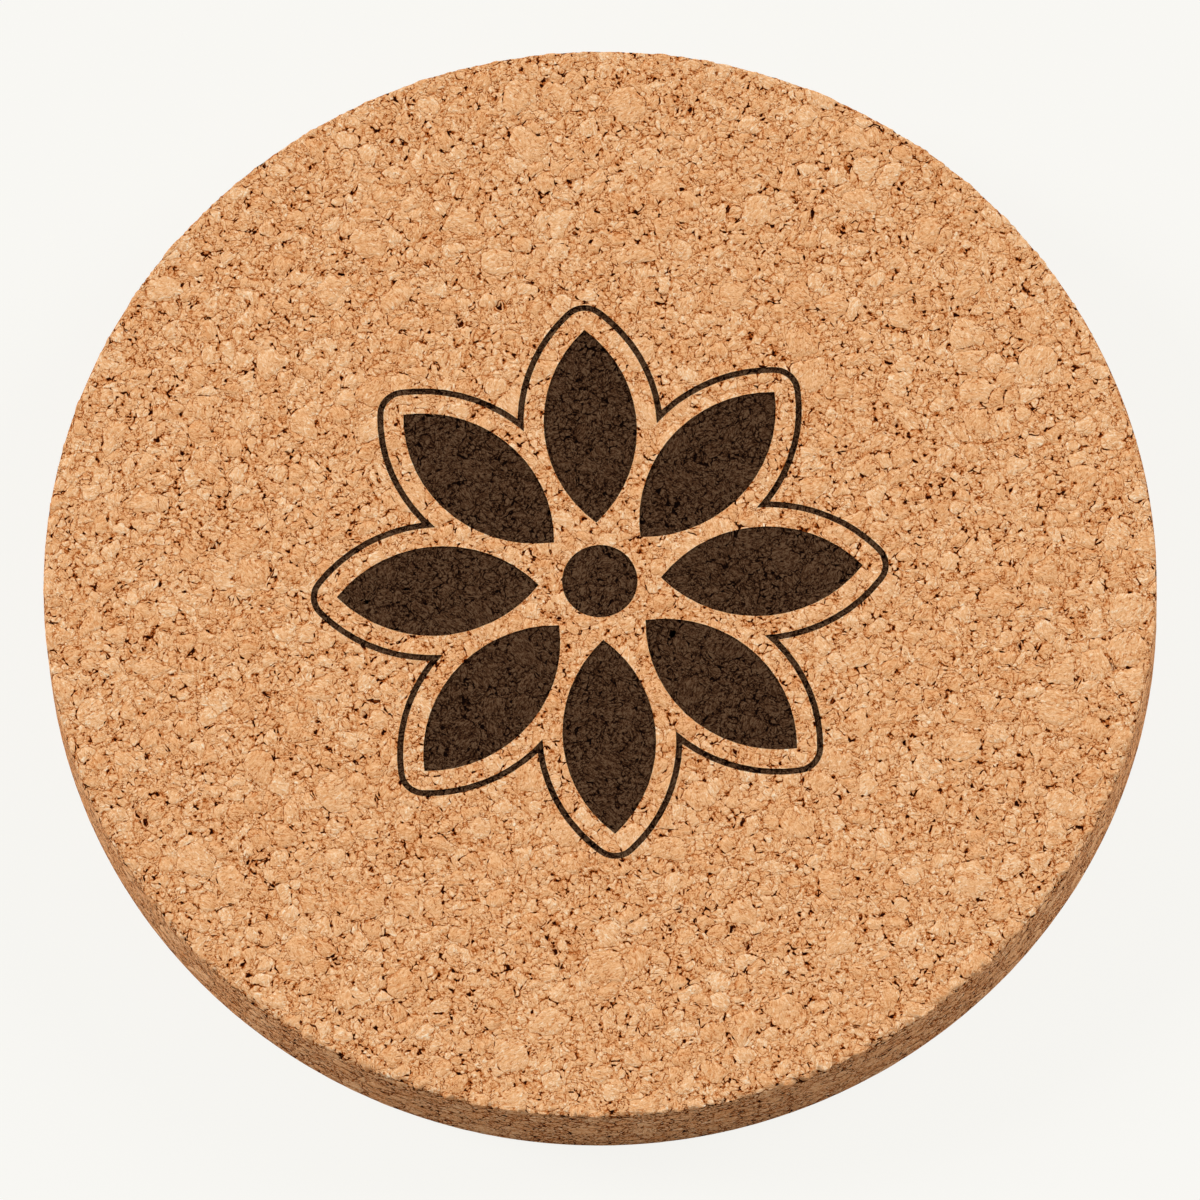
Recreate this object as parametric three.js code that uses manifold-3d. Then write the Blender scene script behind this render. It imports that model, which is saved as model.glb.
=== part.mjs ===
// Round coaster die-cut from pressed cork granules, with a rosette burnt into its top face.
// Millimetres, +Z up, origin at the centre of the underside, one petal pointing along +X.

import * as THREE from 'three';
import { mergeVertices } from 'three/addons/utils/BufferGeometryUtils.js';
import Module from 'manifold-3d';

const wasm = await Module();
wasm.setup();

// Disc
const discDiameter = 100;
const discThickness = 9.5;
const edgeRounding = 0.3; // worn corner left by the die, at the top and at the underside

// Rosette
const rosetteDiameter = 52; // across the keyline, from one petal's end to the opposite one's
const petalCount = 8;
const petalGap = 1.6; // bare cork between neighbouring petals where they come closest
const roundelDiameter = 6.8;
const roundelGap = 2.1; // bare cork between the roundel and a petal's root
const keylineWidth = 0.55;
const keylineGap = 1.8; // bare cork between the petals and the keyline

// Burn
const charThickness = 0.25;
const charRecess = 0.125; // from the top face down to the char
const charClearance = 0.05; // between a char and the wall of its pocket
const pocketOvercut = 1; // how far a pocket's cutter stands above the top face

// Finish
const corkColour = 0xd9a574;
const charColour = 0x3c2a1e;
const corkRoughness = 0.9;
const charRoughness = 0.95;

const facetSag = 0.02; // furthest that a facet lies from its true arc

// Petal proportions: a petal is the overlap of two circles, pointing along +X.
const halfPitch = Math.PI / petalCount;
const petalRoot = roundelDiameter / 2 + roundelGap;
const petalTip = rosetteDiameter / 2 - keylineWidth - keylineGap;
const petalMiddle = (petalRoot + petalTip) / 2;
const petalHalfLength = (petalTip - petalRoot) / 2;

// The half-width is the one that leaves petalGap: the greater root of a quadratic.
const pitchRoom = 2 * petalMiddle * Math.sin(halfPitch) - petalGap;
const pitchNeed = 2 * petalHalfLength * Math.sin(halfPitch);
const petalHalfWidth =
  (pitchRoom + Math.sqrt(pitchRoom ** 2 - pitchNeed ** 2)) / (2 + 2 * Math.cos(halfPitch));
const flankRadius = (petalHalfLength ** 2 + petalHalfWidth ** 2) / (2 * petalHalfWidth);
const flankOffset = flankRadius - petalHalfWidth; // from the petal's axis to a flank's centre

function facetsOn(radius, sweep) {
  return Math.ceil(Math.abs(sweep) / (2 * Math.acos(1 - facetSag / radius)));
}

// Points along an arc, without its last one, so that arcs follow each other.
function arc(x, y, radius, from, to) {
  const count = facetsOn(radius, to - from);
  return Array.from({ length: count }, (_, i) => {
    const angle = from + ((to - from) * i) / count;
    return new THREE.Vector2(x + radius * Math.cos(angle), y + radius * Math.sin(angle));
  });
}

function roundelOutline(growth) {
  return new THREE.Shape(arc(0, 0, roundelDiameter / 2 + growth, 0, 2 * Math.PI));
}

function petalOutline(growth) {
  const radius = flankRadius + growth;
  const tipAngle = Math.asin(flankOffset / radius);
  return new THREE.Shape([
    ...arc(petalMiddle, -flankOffset, radius, tipAngle, Math.PI - tipAngle),
    ...arc(petalMiddle, flankOffset, radius, Math.PI + tipAngle, 2 * Math.PI - tipAngle),
  ]);
}

// The line that keeps one distance from all petals: each scallop rounds a petal's tip, runs
// down both flanks and meets its neighbours on the ray halfway between two petals.
function scallopPoints(distance) {
  const radius = flankRadius + distance;
  const tipAngle = Math.asin(flankOffset / flankRadius);
  const centre = new THREE.Vector2(petalMiddle, -flankOffset);
  const ray = new THREE.Vector2(Math.cos(halfPitch), Math.sin(halfPitch));
  const along = ray.dot(centre);
  const valley = ray.multiplyScalar(along + Math.sqrt(along ** 2 - centre.lengthSq() + radius ** 2));
  const valleyAngle = valley.sub(centre).angle();
  const scallop = [
    ...arc(petalMiddle, flankOffset, radius, -valleyAngle, -tipAngle),
    ...arc(petalTip, 0, distance, -tipAngle, tipAngle),
    ...arc(petalMiddle, -flankOffset, radius, tipAngle, valleyAngle),
  ];
  const middle = new THREE.Vector2();
  return Array.from({ length: petalCount }, (_, k) =>
    scallop.map((point) => point.clone().rotateAround(middle, 2 * k * halfPitch)),
  ).flat();
}

function keylineOutline(growth) {
  const outline = new THREE.Shape(scallopPoints(keylineGap + keylineWidth + growth));
  outline.holes.push(new THREE.Path(scallopPoints(keylineGap - growth)));
  return outline;
}

// Half section of the disc, from the middle of the underside to the middle of the top face.
function discProfile() {
  const inner = discDiameter / 2 - edgeRounding;
  return [
    new THREE.Vector2(0, 0),
    ...arc(inner, edgeRounding, edgeRounding, -Math.PI / 2, 0),
    new THREE.Vector2(discDiameter / 2, edgeRounding),
    ...arc(inner, discThickness - edgeRounding, edgeRounding, 0, Math.PI / 2),
    new THREE.Vector2(inner, discThickness),
    new THREE.Vector2(0, discThickness),
  ];
}

function layer(outline, depth) {
  return new THREE.ExtrudeGeometry(outline, { depth, bevelEnabled: false });
}

function solidFrom(geometry) {
  geometry.deleteAttribute('normal');
  geometry.deleteAttribute('uv');
  const merged = mergeVertices(geometry);
  const vertProperties = new Float32Array(merged.attributes.position.array);
  const triVerts = new Uint32Array(merged.index.array);
  return new wasm.Manifold(new wasm.Mesh({ numProp: 3, vertProperties, triVerts }));
}

function geometryFrom(solid) {
  const { vertProperties, triVerts } = solid.getMesh();
  const geometry = new THREE.BufferGeometry();
  geometry.setAttribute('position', new THREE.BufferAttribute(vertProperties, 3));
  geometry.setIndex(new THREE.BufferAttribute(triVerts, 1));
  geometry.computeVertexNormals();
  return geometry;
}

function piece(name, geometry, color, roughness) {
  const mesh = new THREE.Mesh(
    geometry,
    new THREE.MeshStandardMaterial({ color, roughness, metalness: 0 }),
  );
  mesh.name = name;
  return mesh;
}

// Burnt areas of the top face, each turned to its place about the disc's axis.
const burns = [
  { name: 'char_roundel', outline: roundelOutline, turn: 0 },
  { name: 'char_keyline', outline: keylineOutline, turn: 0 },
];
for (let k = 0; k < petalCount; k++) {
  burns.push({ name: `char_petal_${k + 1}`, outline: petalOutline, turn: 2 * k * halfPitch });
}

// Each char lies on the floor of a pocket of its own outline, wider by the clearance.
const pocketDepth = charRecess + charThickness;
const rosette = new THREE.Group();
rosette.position.z = discThickness - pocketDepth;

const rimFacets = facetsOn(discDiameter / 2, 2 * Math.PI);
let cork = solidFrom(new THREE.LatheGeometry(discProfile(), rimFacets).rotateX(Math.PI / 2));
for (const { name, outline, turn } of burns) {
  const char = piece(name, layer(outline(0), charThickness), charColour, charRoughness);
  char.rotation.z = turn;
  rosette.add(char);
  const pocket = layer(outline(charClearance), pocketDepth + pocketOvercut);
  cork = cork.subtract(solidFrom(pocket.rotateZ(turn).translate(0, 0, rosette.position.z)));
}

const coaster = new THREE.Group();
coaster.add(piece('cork_disc', geometryFrom(cork), corkColour, corkRoughness), rosette);

export default coaster;
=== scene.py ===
import math

import bpy
import numpy as np
from mathutils import Matrix, Vector
from mathutils.geometry import delaunay_2d_cdt
from mathutils.kdtree import KDTree


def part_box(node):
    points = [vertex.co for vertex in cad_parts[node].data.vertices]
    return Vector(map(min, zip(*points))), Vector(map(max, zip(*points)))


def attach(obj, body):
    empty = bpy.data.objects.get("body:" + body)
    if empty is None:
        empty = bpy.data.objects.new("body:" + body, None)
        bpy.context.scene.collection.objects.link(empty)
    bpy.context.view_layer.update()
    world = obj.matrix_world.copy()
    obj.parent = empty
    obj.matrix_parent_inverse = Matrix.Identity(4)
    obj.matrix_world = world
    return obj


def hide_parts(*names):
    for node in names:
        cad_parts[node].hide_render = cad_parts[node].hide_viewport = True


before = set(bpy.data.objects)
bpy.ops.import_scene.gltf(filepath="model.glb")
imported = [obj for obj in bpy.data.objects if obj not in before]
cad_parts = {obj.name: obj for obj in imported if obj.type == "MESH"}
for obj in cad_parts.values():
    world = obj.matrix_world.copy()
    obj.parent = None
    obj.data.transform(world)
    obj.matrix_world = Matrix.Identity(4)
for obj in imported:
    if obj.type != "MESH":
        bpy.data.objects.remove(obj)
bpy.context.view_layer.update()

mm = 0.001
rng = np.random.default_rng(11)

# Places taken from the CAD, in mm
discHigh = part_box("cork_disc")[1] / mm
charLow, charHigh = [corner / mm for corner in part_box("char_roundel")]
charNodes = sorted(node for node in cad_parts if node.startswith("char_"))
radius = discHigh.x


def linear(hexColour):
    channels = [int(hexColour[i:i + 2], 16) / 255 for i in (1, 3, 5)]
    return tuple(c / 12.92 if c <= 0.04045 else ((c + 0.055) / 1.055) ** 2.4 for c in channels) + (1.0,)


def addNode(tree, kind, inputs=(), **settings):
    # a short kind is a shader node's; inputs go by number or name: a node, a socket or a plain value
    node = tree.nodes.new(kind if "Node" in kind else "ShaderNode" + kind)
    for name, value in settings.items():
        setattr(node, name, value)
    for key, value in (inputs.items() if isinstance(inputs, dict) else enumerate(inputs)):
        if isinstance(value, bpy.types.Node):
            value = value.outputs[0]
        if isinstance(value, bpy.types.NodeSocket):
            tree.links.new(value, node.inputs[key])
        else:
            node.inputs[key].default_value = value
    return node


# Pressed cork is granules of all sizes glued under pressure: rounded pale islands, smaller ones
# between them, crumbs in the gaps, and open pits where a crumb is missing. Sizes in mm.
grain = {
    "sizes": {"large": 3.0, "medium": 1.7, "crumb": 0.75},
    "left out": {"large": 0.68, "medium": 0.2, "crumb": 0.0},  # share that smaller grains fill
    "shrink": {"large": (0.04, 0.45), "medium": (0.02, 0.2), "crumb": (0.0, 0.04)},  # least, more
    "reach": 0.62,  # a granule ends this share of its cell from the middle, which rounds it
    "rounding": 0.08,  # share of its cell over which its sides run into that end
    "pressing": 1.35,  # how much flatter than wide a granule lies
    "bend": (1.8, 1.1),  # length and reach of the slow bends in outlines
    "rag": (0.5, 0.26),  # length and reach of the ragged ones
    "pit share": 0.04,
    "pit lip": (0.12, 0.22),  # where a pit's wall starts and ends, in from the crack round it
    "never": -10.0,  # depth that puts a granule out of reach
}


def granuleField(tree, place):
    # how deep each point lies in its granule, and what that granule drew by chance
    lying = addNode(tree, "VectorMath", [place, (1, 1, grain["pressing"])], operation="MULTIPLY")
    strayed = lying
    for length, reach in (grain["bend"], grain["rag"]):
        stray = addNode(tree, "TexNoise", {"Vector": lying, "Scale": 1 / length, "Detail": 1.0})
        strayed = addNode(tree, "VectorMath", [stray.outputs["Color"], (reach,) * 3, strayed],
                          operation="MULTIPLY_ADD")
    inside, luck = {}, {}
    for kind, size in grain["sizes"].items():
        cells = {"Vector": strayed, "Scale": 1 / size}
        cell = addNode(tree, "TexVoronoi", cells)
        edge = addNode(tree, "TexVoronoi", cells, feature="DISTANCE_TO_EDGE")
        luck[kind] = addNode(tree, "SeparateXYZ", [cell.outputs["Color"]])
        least, more = grain["shrink"][kind]
        shrink = addNode(tree, "Math", [luck[kind].outputs[1], -more, -least], operation="MULTIPLY_ADD")
        depth = addNode(tree, "Math", [edge.outputs["Distance"], size, shrink], operation="MULTIPLY_ADD")
        if kind != "crumb":
            end = addNode(tree, "Math", [cell.outputs["Distance"], -size, size * grain["reach"]],
                          operation="MULTIPLY_ADD")
            depth = addNode(tree, "Math", [depth, end, size * grain["rounding"]], operation="SMOOTH_MIN")
        missing = addNode(tree, "Math", [luck[kind].outputs[0], grain["left out"][kind]],
                          operation="LESS_THAN")
        inside[kind] = addNode(tree, "Math", [missing, grain["never"], depth], operation="MULTIPLY_ADD")
    # a larger granule covers what lies under it
    offLarge = addNode(tree, "Math", [inside["large"], -1.0], operation="MULTIPLY")
    medium = addNode(tree, "Math", [inside["medium"], offLarge], operation="MINIMUM")
    solid = addNode(tree, "Math", [inside["large"], medium], operation="MAXIMUM")
    gaps = addNode(tree, "Math", [solid, -1.0], operation="MULTIPLY")
    crumb = addNode(tree, "Math", [inside["crumb"], gaps], operation="MINIMUM")
    depth = addNode(tree, "Math", [solid, crumb], operation="MAXIMUM")
    isLarge = addNode(tree, "Math", [inside["large"], 0.0], operation="GREATER_THAN")
    isMedium = addNode(tree, "Math", [medium, 0.0], operation="GREATER_THAN")
    draws = {kind: draw.outputs[2] for kind, draw in luck.items()}
    chance = addNode(tree, "Mix", {0: isMedium, 2: draws["crumb"], 3: draws["medium"]})
    chance = addNode(tree, "Mix", {0: isLarge, 2: chance, 3: draws["large"]})
    lost = addNode(tree, "Math", [luck["crumb"].outputs[0], 1 - grain["pit share"]],
                   operation="GREATER_THAN")
    pit = addNode(tree, "MapRange", [crumb, *grain["pit lip"], 0.0, lost],
                  interpolation_type="SMOOTHSTEP")
    return {"place": lying, "depth": depth, "solid": solid, "chance": chance, "pit": pit}


# What pressing and cutting leave of the granules in the mesh. Sizes in mm.
relief = {
    "unevenness": 0.06,  # how far granules lie above and below each other
    "shoulder": 0.6,  # how far in from its crack a granule is at its full height
    "own height": 0.5,  # how much of the unevenness is each granule's own
    "pit depth": 0.5,
    "chip": 0.33,  # how deep the cut edge of the top face crumbles
    "crack chip": (0.2, 0.7),  # how far from a crack the edge gives way, and share of a chip there
    "crumb chip": (0.42, 0.5, 0.7),  # size of a lost crumb, and noise levels from whole to gone
}


def makeReliefTree():
    # moves each point along its pressOut by the height of the granule that it lies on
    tree = bpy.data.node_groups.new("granuleRelief", "GeometryNodeTree")
    for flow in ("INPUT", "OUTPUT"):
        tree.interface.new_socket("Geometry", in_out=flow, socket_type="NodeSocketGeometry")
    start = addNode(tree, "NodeGroupInput")
    place, out = [addNode(tree, "GeometryNodeInputNamedAttribute", [name], data_type="FLOAT_VECTOR")
                  for name in ("corkPlace", "pressOut")]
    wear = addNode(tree, "GeometryNodeInputNamedAttribute", ["edgeWear"], data_type="FLOAT")
    field = granuleField(tree, place)
    height = addNode(tree, "MapRange", [field["depth"], 0.0, relief["shoulder"], -1.0, 0.0],
                     interpolation_type="SMOOTHSTEP")
    height = addNode(tree, "Math", [field["chance"], relief["own height"], height],
                     operation="MULTIPLY_ADD")
    dip = addNode(tree, "Math", [height, relief["own height"]], operation="SUBTRACT")
    dip = addNode(tree, "Math", [dip, relief["unevenness"] * mm], operation="MULTIPLY")
    sunk = addNode(tree, "Math", [field["pit"], -relief["pit depth"] * mm, dip], operation="MULTIPLY_ADD")
    # along a cut edge the cracks gape and crumbs have broken away
    near, share = relief["crack chip"]
    gape = addNode(tree, "MapRange", [field["depth"], 0.0, near, share, 0.0],
                   interpolation_type="SMOOTHSTEP")
    size, *levels = relief["crumb chip"]
    fray = addNode(tree, "TexNoise", {"Vector": field["place"], "Scale": 1 / size, "Detail": 0.0})
    gone = addNode(tree, "MapRange", [fray, *levels, 0.0, 1.0])
    chip = addNode(tree, "Math", [gape, gone], operation="MAXIMUM")
    chip = addNode(tree, "Math", [chip, wear], operation="MULTIPLY")
    sunk = addNode(tree, "Math", [chip, -relief["chip"] * mm, sunk], operation="MULTIPLY_ADD")
    shift = addNode(tree, "VectorMath", {0: out, "Scale": sunk}, operation="SCALE")
    moved = addNode(tree, "GeometryNodeSetPosition", {"Geometry": start, "Offset": shift})
    addNode(tree, "NodeGroupOutput", [moved])
    return tree


# Marks that cork shows, raw or charred, in mm. The levels are of a noise about 0.5.
# the dark of cracks, creases and pits is partly the cork's own and partly painted shade of their hollows
corkMarks = {
    "core": 0.4,  # how far in from its crack a granule turns calm
    "crumble size": 0.34,
    "cell rows": (0.19, 0.46, 0.3),  # the real cells are about 0.04, too fine to show: drawn coarser
    "cell turn": 40.0,  # radians, times what a granule drew, so that no two lie alike
    "crack run": 1.3,  # how far a crack goes on before it fades
    "crack fade": (0.4, 0.58, 0.22, 1.0),  # two levels, and the strength at each
    "gape run": 0.5,  # how far an opened crack stays open
    "gape width": (0.54, 0.74, 0.06, 0.115),  # two levels, and the crack's width at each
    "gape shade": (0.535, 0.69),  # levels of a thin crack and of an open one
    "crease run": 0.42,
    "crease line": (0.45, 0.06),  # creases follow this level, and fade this far off it
    "crease fade": (0.32, 0.66),  # levels of a full crease and of none
    "pit shade": 0.5,
    "rim start": (0.05, 0.01),  # how far inside the disc's radius the rim's look starts, and is full
    "dome": 0.06,  # rise of a granule's core, as bump
    "hollow": 0.16,  # how much lower the darkest marks lie, as bump
    "specular": 0.03,  # cork is all pores, so next to no gloss is left
    "IOR": 1.4,
}

# Pressed cork, die-cut and unfinished: warm matt tan, each granule its own tone, brown cracks
# opened in near-black strokes, pits, and faint cell streaks inside the granules.
# the near-black of the opened cracks and pits is partly painted shade of their hollows
pressedCork = {
    "tones": {  # from the palest flakes down to the pits
        0.18: "#ffe9ca", 0.28: "#f8cea2", 0.37: "#f1bb88", 0.45: "#e7ab75", 0.53: "#de9b63",
        0.6: "#ca7d45", 0.68: "#b05c22", 0.76: "#8a3d0e", 0.84: "#561b06", 0.92: "#220902",
    },
    "ground": (0.339, 0.349),  # tone between and inside the granules
    "spread": 0.1,  # from the palest granule to the darkest
    "crumble": (0.5, 0.42),  # strength between and inside the granules, here and below
    "flakes": (0.64, 0.68),
    "crease": (0.34, 0.23),
    "crack": 0.19,
    "gap": 0.52,  # what an opened crack adds
    # the rim's darker tone is partly its own brown and partly painted shade; its tint is painted shade
    "rim": (0.052, 1.75),  # the cut rim is browner, and its marks stand out more
    "rim tint": "#f9fafc",
    "roughness": (0.82, 0.95),  # of the palest flakes and of the pits
}

# Cork charred by a laser: dark brown, dead matt, with the granules and their cracks still showing.
charredCork = {
    "tones": {
        0.3: "#644b36", 0.38: "#533a27", 0.45: "#4a3120", 0.52: "#3c2514",
        0.58: "#2b170b", 0.66: "#190a04", 0.76: "#0b0301",
    },
    "ground": (0.38, 0.4),
    "spread": 0.04,
    "crumble": (0.76, 0.62),
    "flakes": (0.95, 0.9),
    "crease": (0.32, 0.2),
    "crack": 0.18,
    "gap": 0.46,
    "rim": (0.0, 1.0),
    "rim tint": "#ffffff",
    "roughness": (0.88, 0.97),
}


def makeCorkFinish(name, look):
    finish = bpy.data.materials.new(name)
    finish.use_nodes = True
    tree = finish.node_tree
    tree.nodes.clear()
    place = addNode(tree, "Attribute", attribute_name="corkPlace").outputs["Vector"]
    field = granuleField(tree, place)
    noises = {}
    for run in ("crack run", "gape run", "crease run"):
        noises[run] = addNode(tree, "TexNoise",
                              {"Vector": field["place"], "Scale": 1 / corkMarks[run], "Detail": 1.0})
    # each granule's own tone, then crumble all over, calmer inside the granules
    within = addNode(tree, "MapRange", [field["solid"], 0.0, corkMarks["core"], 0.0, 1.0])
    ground = addNode(tree, "MapRange", [within, 0.0, 1.0, *look["ground"]])
    shade = addNode(tree, "Math", [field["chance"], look["spread"], ground], operation="MULTIPLY_ADD")
    crumble = addNode(tree, "TexNoise",
                      {"Vector": field["place"], "Scale": 1 / corkMarks["crumble size"], "Detail": 3.0,
                       "Roughness": 0.73, "Distortion": 0.6})
    # cork cells lie in streaks, turned another way in each granule
    turn = addNode(tree, "Math", [field["chance"], corkMarks["cell turn"]], operation="MULTIPLY")
    turned = addNode(tree, "VectorRotate", {"Vector": field["place"], "Angle": turn},
                     rotation_type="Z_AXIS")
    perMm = tuple(1 / size for size in corkMarks["cell rows"])
    cells = addNode(tree, "VectorMath", [turned, perMm], operation="MULTIPLY")
    streaks = addNode(tree, "TexNoise",
                      {"Vector": cells, "Scale": 1.0, "Detail": 1.5, "Distortion": 1.3})
    for noise, strengths in ((crumble, look["crumble"]), (streaks, look["flakes"])):
        swing = addNode(tree, "Math", [noise, 0.5], operation="SUBTRACT")
        strength = addNode(tree, "MapRange", [within, 0.0, 1.0, *strengths])
        shade = addNode(tree, "Math", [swing, strength, shade], operation="MULTIPLY_ADD")
    # creases wander between the cracks, as short curved strokes, their dark partly painted shade in the
    # folds
    line, reach = corkMarks["crease line"]
    wander = addNode(tree, "Math", [noises["crease run"], line], operation="SUBTRACT")
    wander = addNode(tree, "Math", [wander], operation="ABSOLUTE")
    crease = addNode(tree, "MapRange", [wander, 0.0, reach, 1.0, 0.0], interpolation_type="SMOOTHSTEP")
    strength = addNode(tree, "MapRange", [within, 0.0, 1.0, *look["crease"]])
    worn = addNode(tree, "MapRange", [noises["crack run"], *corkMarks["crease fade"], strength, 0.0])
    marks = addNode(tree, "Math", [crease, worn], operation="MULTIPLY")
    # thin cracks round the granules, opened here and there; their dark is partly painted shade in the
    # gaps
    off = addNode(tree, "Math", [field["depth"]], operation="ABSOLUTE")
    width = addNode(tree, "MapRange", [noises["gape run"], *corkMarks["gape width"]])
    near = addNode(tree, "MapRange", [off, 0.0, width, 1.0, 0.0], interpolation_type="SMOOTHSTEP")
    fade = addNode(tree, "MapRange", [noises["crack run"], *corkMarks["crack fade"]])
    gape = addNode(tree, "MapRange", [noises["gape run"], *corkMarks["gape shade"],
                                      look["crack"], look["crack"] + look["gap"]])
    crack = addNode(tree, "Math", [gape, fade], operation="MULTIPLY")
    marks = addNode(tree, "Math", [near, crack, marks], operation="MULTIPLY_ADD")
    # pits are near-black, partly painted shade inside the hole
    marks = addNode(tree, "Math", [field["pit"], corkMarks["pit shade"], marks], operation="MULTIPLY_ADD")
    # the cut rim: darker, partly its own brown and partly painted shade, and its marks stand out more
    flat = addNode(tree, "VectorMath", [place, (1, 1, 0)], operation="MULTIPLY")
    away = addNode(tree, "VectorMath", [flat], operation="LENGTH").outputs["Value"]
    start, full = [radius - inward for inward in corkMarks["rim start"]]
    rimBrownAndShade, stronger = look["rim"]
    rim = addNode(tree, "MapRange", [away, start, full, 0.0, 1.0])
    gain = addNode(tree, "MapRange", [rim, 0.0, 1.0, 1.0, stronger])
    shade = addNode(tree, "Math", [marks, gain, shade], operation="MULTIPLY_ADD")
    shade = addNode(tree, "Math", [rim, rimBrownAndShade, shade], operation="MULTIPLY_ADD")
    # shade to colour and roughness
    tone = addNode(tree, "ValToRGB", [shade])
    spots = sorted(look["tones"])
    stops = tone.color_ramp.elements
    stops[0].position, stops[1].position = spots[0], spots[-1]
    for spot in spots[1:-1]:
        stops.new(spot)
    for stop, spot in zip(stops, spots):
        stop.color = linear(look["tones"][spot])
    # the rim's cool tint is painted shade: the colour of the sky light that falls on it in shade
    tint = addNode(tree, "Mix", {0: rim, 6: tone.outputs["Color"], 7: linear(look["rim tint"])},
                   data_type="RGBA", blend_type="MULTIPLY")
    rough = addNode(tree, "MapRange", [shade, spots[0], spots[-1], *look["roughness"]])
    # relief too fine for the mesh, in mm: granules are domed, and what is dark lies low
    dome = addNode(tree, "MapRange", [field["depth"], 0.0, corkMarks["core"], 0.0, corkMarks["dome"]],
                   interpolation_type="SMOOTHSTEP")
    low = addNode(tree, "Math", [shade, -corkMarks["hollow"], dome], operation="MULTIPLY_ADD")
    bump = addNode(tree, "Bump", {"Distance": mm, "Height": low})
    surface = addNode(tree, "BsdfPrincipled",
                      {"Base Color": tint.outputs[2], "Roughness": rough, "IOR": corkMarks["IOR"],
                       "Specular IOR Level": corkMarks["specular"], "Normal": bump})
    addNode(tree, "OutputMaterial", [surface])
    return finish


reliefTree = makeReliefTree()
corkFinish = makeCorkFinish("pressedCorkDieCut", pressedCork)
charFinish = makeCorkFinish("corkCharredByLaser", charredCork)
print("finishes made")

# Meshing of flat faces: how far loose points stray and keep clear, in steps; angles in radians
meshing = {
    "stray": 0.24,
    "clear": 0.6,
    "sharp corner": 0.5,
    "level": 0.01,  # mm, how far below the highest point a top face may lie
    "same point": 1e-6,  # mm
}


def topLoops(node):
    # outlines of a node's top face in mm, the longest first, with the face on their left
    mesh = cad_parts[node].data
    top = max(v.co.z for v in mesh.vertices) - meshing["level"] * mm
    sides = {}
    for face in mesh.polygons:
        if all(mesh.vertices[i].co.z > top for i in face.vertices):
            spots = [tuple(round(c / mm, 4) for c in mesh.vertices[i].co[:2]) for i in face.vertices]
            sides.update(dict.fromkeys(zip(spots, spots[1:] + spots[:1])))
    following = {a: b for a, b in sides if (b, a) not in sides}
    loops = []
    while following:
        point = next(iter(following))
        loop = []
        while point in following:
            loop.append(point)
            point = following.pop(point)
        loops.append(np.array(loop))
    return sorted(loops, key=len, reverse=True)


def evenLoop(loop, step):
    # the same outline with points a step apart, its sharp corners kept
    ahead = np.roll(loop, -1, 0) - loop
    heading = np.arctan2(ahead[:, 1], ahead[:, 0])
    turn = (heading - np.roll(heading, 1) + math.pi) % (2 * math.pi) - math.pi
    corners = list(np.flatnonzero(np.abs(turn) > meshing["sharp corner"])) or [0]
    even = []
    for first, last in zip(corners, corners[1:] + [corners[0] + len(loop)]):
        stretch = loop[np.arange(first, last + 1) % len(loop)]
        along = np.concatenate([[0], np.cumsum(np.linalg.norm(np.diff(stretch, axis=0), axis=1))])
        count = max(round(along[-1] / step), 1)
        spots = np.arange(count) * along[-1] / count
        even.append(np.stack([np.interp(spots, along, stretch[:, k]) for k in (0, 1)], 1))
    return np.concatenate(even)


def leftOf(loop):
    along = np.roll(loop, -1, 0) - np.roll(loop, 1, 0)
    return np.column_stack([-along[:, 1], along[:, 0]]) / np.linalg.norm(along, axis=1)[:, None]


def ring(size, count):
    angle = np.arange(count) * 2 * math.pi / count
    return size * np.stack([np.cos(angle), np.sin(angle)], 1)


def scatter(reach, step, loops):
    # loose points a step apart inside a circle, clear of the outlines
    across = np.arange(-reach, reach, step)
    rows = np.arange(-reach, reach, step * math.sqrt(0.75))
    points = np.concatenate([np.stack([across + step / 2 * (k % 2), np.full(len(across), y)], 1)
                             for k, y in enumerate(rows)])
    points += rng.uniform(-meshing["stray"], meshing["stray"], points.shape) * step
    clear = meshing["clear"] * step
    points = points[np.hypot(*points.T) < reach - clear]
    known = np.concatenate(loops)
    tree = KDTree(len(known))
    for i, (x, y) in enumerate(known):
        tree.insert((x, y, 0), i)
    tree.balance()
    return points[[tree.find((x, y, 0))[2] > clear for x, y in points]]


def triangulate(loops, loose=()):
    # triangles between closed outlines and loose points, the outlines round each one, and all points
    starts = np.cumsum([0] + [len(loop) for loop in loops])
    polygons = []
    for loop, start in zip(loops, starts):
        x, y = loop.T
        turn = np.sum(x * np.roll(y, -1) - y * np.roll(x, -1))
        order = range(start, start + len(loop))
        polygons.append(list(order if turn > 0 else reversed(order)))
    points = [Vector(p) for p in np.concatenate([*loops, np.reshape(loose, (-1, 2))])]
    _, _, triangles, kept, _, within = delaunay_2d_cdt(points, [], polygons, 1, meshing["same point"])
    source = np.array([old[0] for old in kept])
    return source[np.array(triangles)], within, np.array([p[:] for p in points])


def sewRings(upper, lower):
    # quads that face the right-hand side of the rings' direction
    return list(zip(upper, lower, np.roll(lower, -1), np.roll(upper, -1)))


def newSkin():
    return {"places": [], "outs": [], "wear": [], "faces": [], "layout": []}


def addPoints(skin, spots, height, outs, wear=0.0):
    # points at one height, the way that the relief moves each of them, and their numbers
    start = sum(len(places) for places in skin["places"])
    skin["places"].append(np.column_stack([spots, np.full(len(spots), height)]))
    skin["outs"].append(np.broadcast_to(outs, (len(spots), 3)))
    skin["wear"].append(np.broadcast_to(wear, len(spots)))
    return np.arange(start, start + len(spots))


def addFaces(skin, faces, layout=()):
    skin["faces"] += [tuple(int(i) for i in face) for face in faces]
    skin["layout"].append(np.reshape(layout, (-1, 2)))


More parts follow.
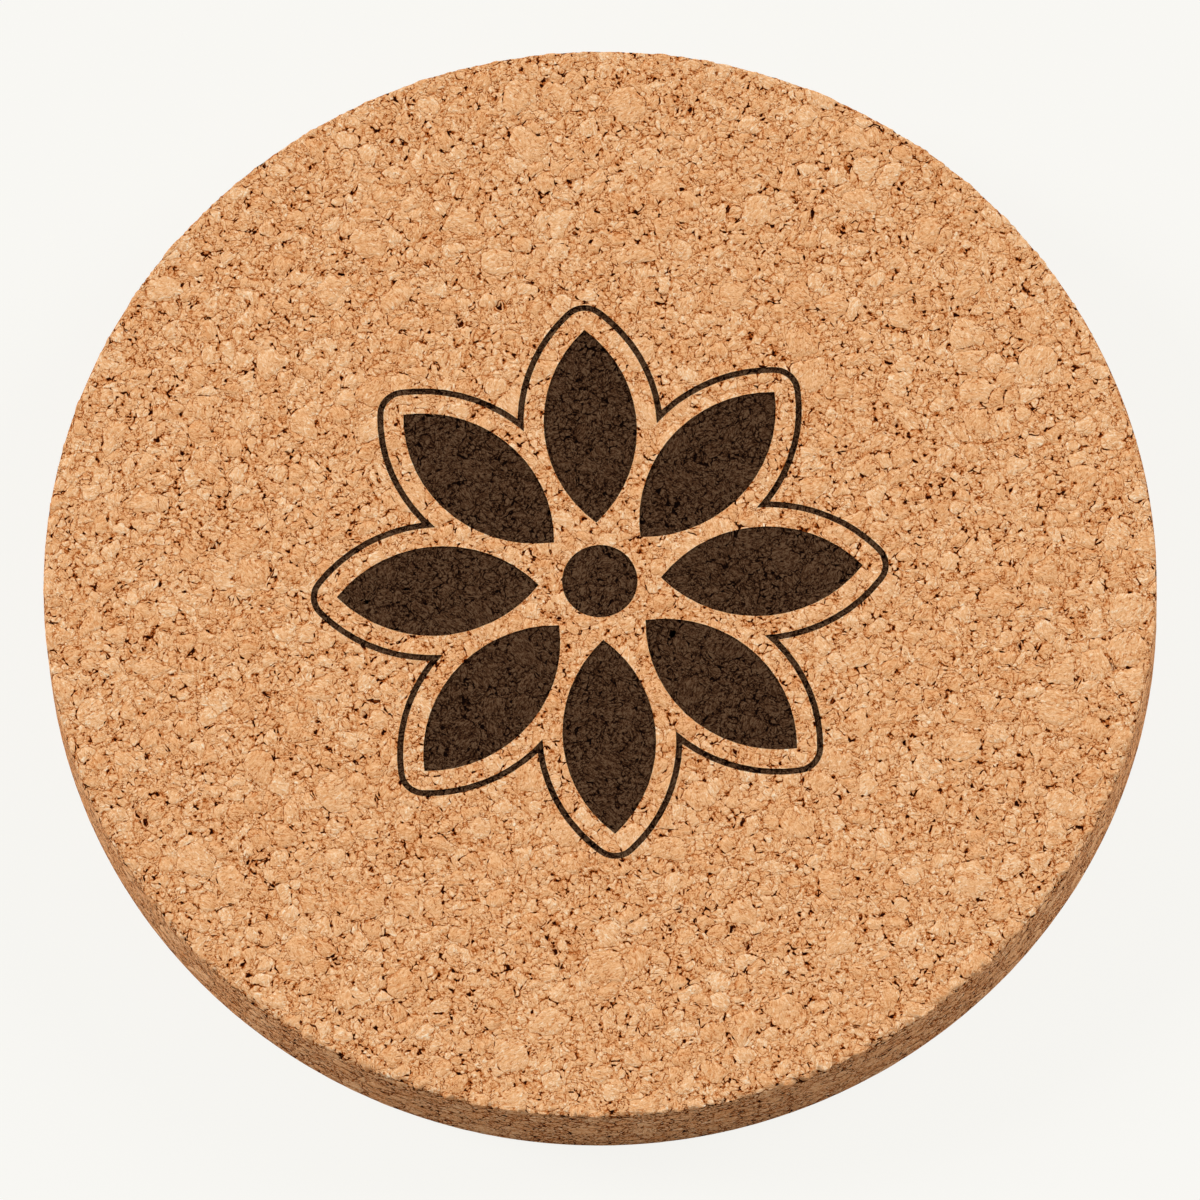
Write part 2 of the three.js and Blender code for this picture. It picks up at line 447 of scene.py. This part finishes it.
def makePiece(name, skin, finishes, flatFrom):
    # a mesh that keeps where each point lay before the pressing; the last faces are flat
    mesh = bpy.data.meshes.new(name)
    places = np.concatenate(skin["places"])
    mesh.from_pydata(places * mm, [], skin["faces"])
    for finish in finishes:
        mesh.materials.append(finish)
    flat = np.arange(len(skin["faces"])) >= flatFrom
    mesh.polygons.foreach_set("material_index", (flat * (len(finishes) - 1)).astype(np.int32))
    mesh.polygons.foreach_set("use_smooth", ~flat)
    for label, values in (("corkPlace", places), ("pressOut", np.concatenate(skin["outs"]))):
        attribute = mesh.attributes.new(label, "FLOAT_VECTOR", "POINT")
        attribute.data.foreach_set("vector", values.astype(np.float32).ravel())
    wear = np.concatenate(skin["wear"]).astype(np.float32)
    mesh.attributes.new("edgeWear", "FLOAT", "POINT").data.foreach_set("value", wear)
    layout = np.concatenate(skin["layout"]).astype(np.float32)
    if len(layout):
        mesh.uv_layers.new(name="OFBake").uv.foreach_set("vector", layout.ravel())
    mesh.validate()
    piece = bpy.data.objects.new(name, mesh)
    bpy.context.scene.collection.objects.link(piece)
    return piece


def press(piece):
    # lays the granules' relief into the mesh itself
    modifier = piece.modifiers.new("relief", "NODES")
    modifier.node_group = reliefTree
    graph = bpy.context.evaluated_depsgraph_get()
    pressed = bpy.data.meshes.new_from_object(piece.evaluated_get(graph), preserve_all_data_layers=True,
                                              depsgraph=graph)
    piece.modifiers.clear()
    smooth = piece.data
    piece.data = pressed
    bpy.data.meshes.remove(smooth)
    pressed.name = piece.name


# One slab: a dense top face, a coarser rim and underside, and a pocket under each burnt area. In mm.
corkDisc = {
    "top step": 0.38,
    "edge step": 0.27,
    "rim step": 0.6,
    "base step": 0.95,
    "outline step": 0.32,
    "corner": 0.12,
    "rim relief": 0.3,  # the cut rim is smoother than the faces
    "crumbled": 0.13,  # how far down the rim its top edge crumbles
    "edge wear": (0.65, 0.35),  # strength at the sides, and how much more at the front
}

# Flat layout of the slab, for baked maps: each middle on a map one unit wide, and units per mm
bakeLayout = {
    "top": (0.35, 0.35, 0.0069),
    "base": (0.85, 0.85, 0.0029),
    "pockets": (0.15, 0.85, 0.0053),
    "rim": (0.703, 0.005, 0.0069),  # the first strip's corner
    "rim strips": 4,
    "rim pitch": 0.074,
}

rimCount = round(2 * math.pi * radius / corkDisc["edge step"] / bakeLayout["rim strips"])
rimCount *= bakeLayout["rim strips"]
innerRadius = radius - corkDisc["corner"]
charLoops = {node: [evenLoop(loop, corkDisc["outline step"]) for loop in topLoops(node)]
             for node in charNodes}
loopOwners = [node for node in charNodes for _ in charLoops[node]]
topOutlines = [ring(innerRadius, rimCount)] + [loop for node in charNodes for loop in charLoops[node]]
topLoose = scatter(innerRadius, corkDisc["top step"], topOutlines)
topTriangles, topWithin, topPoints = triangulate(topOutlines, topLoose)
print("top face:", len(topTriangles), "triangles")


def ownerOf(within):
    # a burnt area holds a triangle that lies in an odd number of its outlines
    names = [loopOwners[i - 1] for i in within if i > 0]
    return next((n for n in dict.fromkeys(names) if names.count(n) % 2), None)


topOwners = [ownerOf(within) for within in topWithin]
loopStarts = np.cumsum([len(loop) for loop in topOutlines])
loopNumbers = {node: [] for node in charNodes}
for owner, start, end in zip(loopOwners, loopStarts, loopStarts[1:]):
    loopNumbers[owner].append(np.arange(start, end))


def topFaces(wanted):
    # the points of the top face that belong to a burnt area, or to none, and its triangles
    chosen = topTriangles[[owner == wanted for owner in topOwners]]
    used, triangles = np.unique(chosen, return_inverse=True)
    return used, triangles.reshape(-1, 3)


def floorFaces(node):
    # the floor under a burnt area: its triangles, its points and the numbers of each outline's points
    triangles, within, points = triangulate(charLoops[node])
    starts = np.cumsum([0] + [len(loop) for loop in charLoops[node]])
    outlines = [np.arange(start, end) for start, end in zip(starts, starts[1:])]
    return triangles[[len(w) % 2 == 1 for w in within]], points, outlines


def laidOut(part, points):
    across, up, scale = bakeLayout[part]
    return np.array([across, up]) + points * scale


def rimLayout(top, bottom):
    # a row of quads round the rim, in as many strips as the layout has
    across, up, scale = bakeLayout["rim"]
    strip, along = np.divmod(np.arange(rimCount), rimCount // bakeLayout["rim strips"])
    step = 2 * math.pi * radius / rimCount
    left = across + strip * bakeLayout["rim pitch"]
    corners = [np.column_stack([left + side * scale, up + (along + ahead) * step * scale])
               for side, ahead in ((top, 0), (bottom, 0), (bottom, 1), (top, 1))]
    return np.stack(corners, 1)


def rimRows():
    # rows of points down the rim: how far each stands out, its height and its lean, in radians
    corner, top = corkDisc["corner"], discHigh.z
    upper = [(corner * math.sin(lean), corner * (math.cos(lean) - 1) + top, lean)
             for lean in (math.pi / 6, math.pi / 3)]
    steps = round((top - 2 * corner) / corkDisc["rim step"])
    straight = [(corner, z, math.pi / 2) for z in np.linspace(top - corner, corner, steps + 1)]
    lower = [(corner * math.sin(lean), corner * (math.cos(lean) + 1), lean)
             for lean in (2 * math.pi / 3, 5 * math.pi / 6)]
    return upper + straight + lower


def makeCorkDisc():
    skin = newSkin()
    circle = ring(1, rimCount)
    slant = np.column_stack([circle, np.ones(rimCount)]) * math.sqrt(0.5)
    middle, more = corkDisc["edge wear"]
    edgeWear = middle - more * circle[:, 1]

    # top face, with the ring along its edge first
    used, triangles = topFaces(None)
    outs = np.tile((0.0, 0.0, 1.0), (len(used), 1))
    outs[:rimCount] = slant
    wear = np.zeros(len(used))
    wear[:rimCount] = edgeWear
    above = addPoints(skin, topPoints[used], discHigh.z, outs, wear)[:rimCount]
    addFaces(skin, triangles, laidOut("top", topPoints[used][triangles]))

    # rim, from the top down
    rows = rimRows()
    section = [(0.0, discHigh.z), *[row[:2] for row in rows], (0.0, 0.0)]
    down = [0.0, *np.cumsum([math.dist(a, b) for a, b in zip(section, section[1:])])]
    for (reach, z, lean), begin, end in zip(rows, down, down[1:]):
        worn = z > discHigh.z - corkDisc["crumbled"]
        out = np.column_stack([circle * math.sin(lean), np.full(rimCount, math.cos(lean))])
        out = slant if worn else out * corkDisc["rim relief"]
        below = addPoints(skin, circle * (innerRadius + reach), z, out, edgeWear * worn)
        addFaces(skin, sewRings(above, below), rimLayout(begin, end))
        above = below

    # underside
    outline = [ring(innerRadius, rimCount)]
    triangles, _, points = triangulate(outline, scatter(innerRadius, corkDisc["base step"], outline))
    triangles = triangles[:, ::-1]
    base = addPoints(skin, points, 0.0, (0.0, 0.0, -1.0))
    addFaces(skin, sewRings(above, base[:rimCount]), rimLayout(*down[-2:]))
    addFaces(skin, base[triangles], laidOut("base", points[triangles] * (-1, 1)))

    # pockets, with points of their own along the edge, so that the top face stays flat up to it
    burntFrom = len(skin["faces"])
    for node in charNodes:
        triangles, points, outlines = floorFaces(node)
        low = addPoints(skin, points, charLow.z, (0.0, 0.0, 0.0))
        high = addPoints(skin, points, discHigh.z, (0.0, 0.0, 1.0))
        for loop in outlines:
            folded = points[loop] - leftOf(points[loop]) * (discHigh.z - charLow.z)
            spots = sewRings(range(len(loop)), range(len(loop), 2 * len(loop)))
            spots = np.array(spots)[:, ::-1]
            walls = np.concatenate([high[loop], low[loop]])[spots]
            addFaces(skin, walls, laidOut("pockets", np.concatenate([folded, points[loop]])[spots]))
        addFaces(skin, low[triangles], laidOut("pockets", points[triangles]))
    return makePiece("corkDisc", skin, [corkFinish, charFinish], burntFrom)


# Charred layers: the same granules, a little below the face, on the floors of their pockets. In mm.
charLayer = {"clearance": 0.03}


def makeChar(node):
    skin = newSkin()
    points = topPoints.copy()
    for loop in loopNumbers[node]:
        points[loop] += leftOf(points[loop]) * charLayer["clearance"]
    used, triangles = topFaces(node)
    addPoints(skin, points[used], charHigh.z, (0.0, 0.0, 1.0))
    addFaces(skin, triangles)
    wallFrom = len(skin["faces"])
    edge = points[np.concatenate(loopNumbers[node])]
    low = addPoints(skin, edge, charLow.z, (0.0, 0.0, 0.0))
    high = addPoints(skin, edge, charHigh.z, (0.0, 0.0, 1.0))
    triangles, _, outlines = floorFaces(node)
    for loop in outlines:
        addFaces(skin, sewRings(high[loop], low[loop]))
    addFaces(skin, low[triangles[:, ::-1]])
    name = "charred" + node.removeprefix("char_").title().replace("_", "")
    return makePiece(name, skin, [charFinish], wallFrom)


disc = makeCorkDisc()
press(disc)
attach(disc, "root")
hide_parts("cork_disc")
print("cork disc:", sum(len(p.vertices) - 2 for p in disc.data.polygons), "triangles")

for node in charNodes:
    char = makeChar(node)
    press(char)
    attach(char, "root")
    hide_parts(node)
print("charred layers:", len(charNodes))

# Studio: pale floor that bounces little, soft lamps on both sides and a little behind. Metres, degrees.
studio = {
    "floor": "#f8f7f3",
    "floor size": 6.0,
    "floor gap": 0.02 * mm,
    "floor bounce": 0.75,
    "floor shadow": 0.06,  # how much of the object's shadow shows
    "sky": 0.37,
    "lamps": {  # compass, height, W/m2 and width
        "keyLamp": (159, 27, 2.5, 20),
        "fillLamp": (24, 26, 2.1, 30),
    },
}


def grey(level):
    return (level, level, level, 1.0)


def seenRays(tree):
    # 1 where the background itself is seen, 0 where it lights the object
    path = addNode(tree, "LightPath").outputs
    seen = addNode(tree, "Math", [path["Is Camera Ray"], path["Is Glossy Ray"]], operation="MAXIMUM")
    return addNode(tree, "Math", [seen, path["Is Transmission Ray"]], operation="MAXIMUM")


def makeSky():
    world = bpy.data.worlds.new("studioSky")
    world.use_nodes = True
    tree = world.node_tree
    tree.nodes.clear()
    colour = addNode(tree, "Mix", {0: seenRays(tree), 6: grey(studio["sky"]), 7: linear(studio["floor"])},
                     data_type="RGBA")
    sky = addNode(tree, "Background", [colour.outputs[2]])
    addNode(tree, "OutputWorld", [sky])
    bpy.context.scene.world = world


def makeFloor():
    # studio paper: its own pale colour to the eye, a dimmer bounce to the object
    paper = bpy.data.materials.new("studioPaper")
    paper.use_nodes = True
    tree = paper.node_tree
    tree.nodes.clear()
    dim = addNode(tree, "BsdfDiffuse", {"Color": grey(studio["floor bounce"])})
    pale = addNode(tree, "BsdfDiffuse", {"Color": linear(studio["floor"])})
    glow = addNode(tree, "Emission", {"Color": linear(studio["floor"]), "Strength": 1.0})
    shown = addNode(tree, "MixShader", [studio["floor shadow"], glow, pale])
    surface = addNode(tree, "MixShader", [seenRays(tree), dim, shown])
    addNode(tree, "OutputMaterial", [surface])

    half = studio["floor size"] / 2
    mesh = bpy.data.meshes.new("studioFloor")
    mesh.from_pydata([(-half, -half, 0), (half, -half, 0), (half, half, 0), (-half, half, 0)],
                     [], [(0, 1, 2, 3)])
    mesh.materials.append(paper)
    floor = bpy.data.objects.new("studioFloor", mesh)
    floor.location.z = -studio["floor gap"]
    bpy.context.scene.collection.objects.link(floor)


def makeLamps():
    for name, (compass, height, power, width) in studio["lamps"].items():
        lamp = bpy.data.lights.new(name, "SUN")
        lamp.energy = power
        lamp.angle = math.radians(width)
        stand = bpy.data.objects.new(name, lamp)
        around, up = math.radians(compass), math.radians(height)
        towards = Vector((math.cos(around) * math.cos(up), math.sin(around) * math.cos(up), math.sin(up)))
        stand.rotation_euler = towards.to_track_quat("Z", "Y").to_euler()
        bpy.context.scene.collection.objects.link(stand)


bpy.context.scene.view_settings.view_transform = "Standard"
makeSky()
makeFloor()
makeLamps()
print("studio made")

# The photograph's view: long lens, high up, slightly turned about its own axis. Degrees, metres, the
# sensor in mm, and pixels of the frame.
view = {
    "elevation": 73.4,
    "roll": 3.5,
    "distance": 2.5,
    "frame": 1200,
    "disc width": 1112.0,
    "disc centre": (600.7, 596.0),
    "sensor": 36.0,
}


def makeCamera():
    camera = bpy.data.cameras.new("photoCamera")
    pixel = 2 * radius * mm / view["disc width"]  # metres for a pixel of the frame, at the disc
    camera.sensor_width = view["sensor"]
    camera.lens = view["sensor"] * view["distance"] / (view["frame"] * pixel)
    up, roll = math.radians(view["elevation"]), math.radians(view["roll"])
    back = Vector((0, -math.cos(up), math.sin(up)))
    level = Vector((1, 0, 0))
    over = back.cross(level)
    right = level * math.cos(roll) - over * math.sin(roll)
    over = over * math.cos(roll) + level * math.sin(roll)
    aside, down = [(c - view["frame"] / 2) * pixel for c in view["disc centre"]]
    aim = Vector((0, 0, discHigh.z * mm / 2)) - right * aside + over * down
    place = bpy.data.objects.new("photoCamera", camera)
    turned = Matrix((right, over, back)).transposed().to_4x4()
    place.matrix_world = Matrix.Translation(aim + back * view["distance"]) @ turned
    bpy.context.scene.collection.objects.link(place)
    bpy.context.scene.camera = place


makeCamera()
print("camera set")
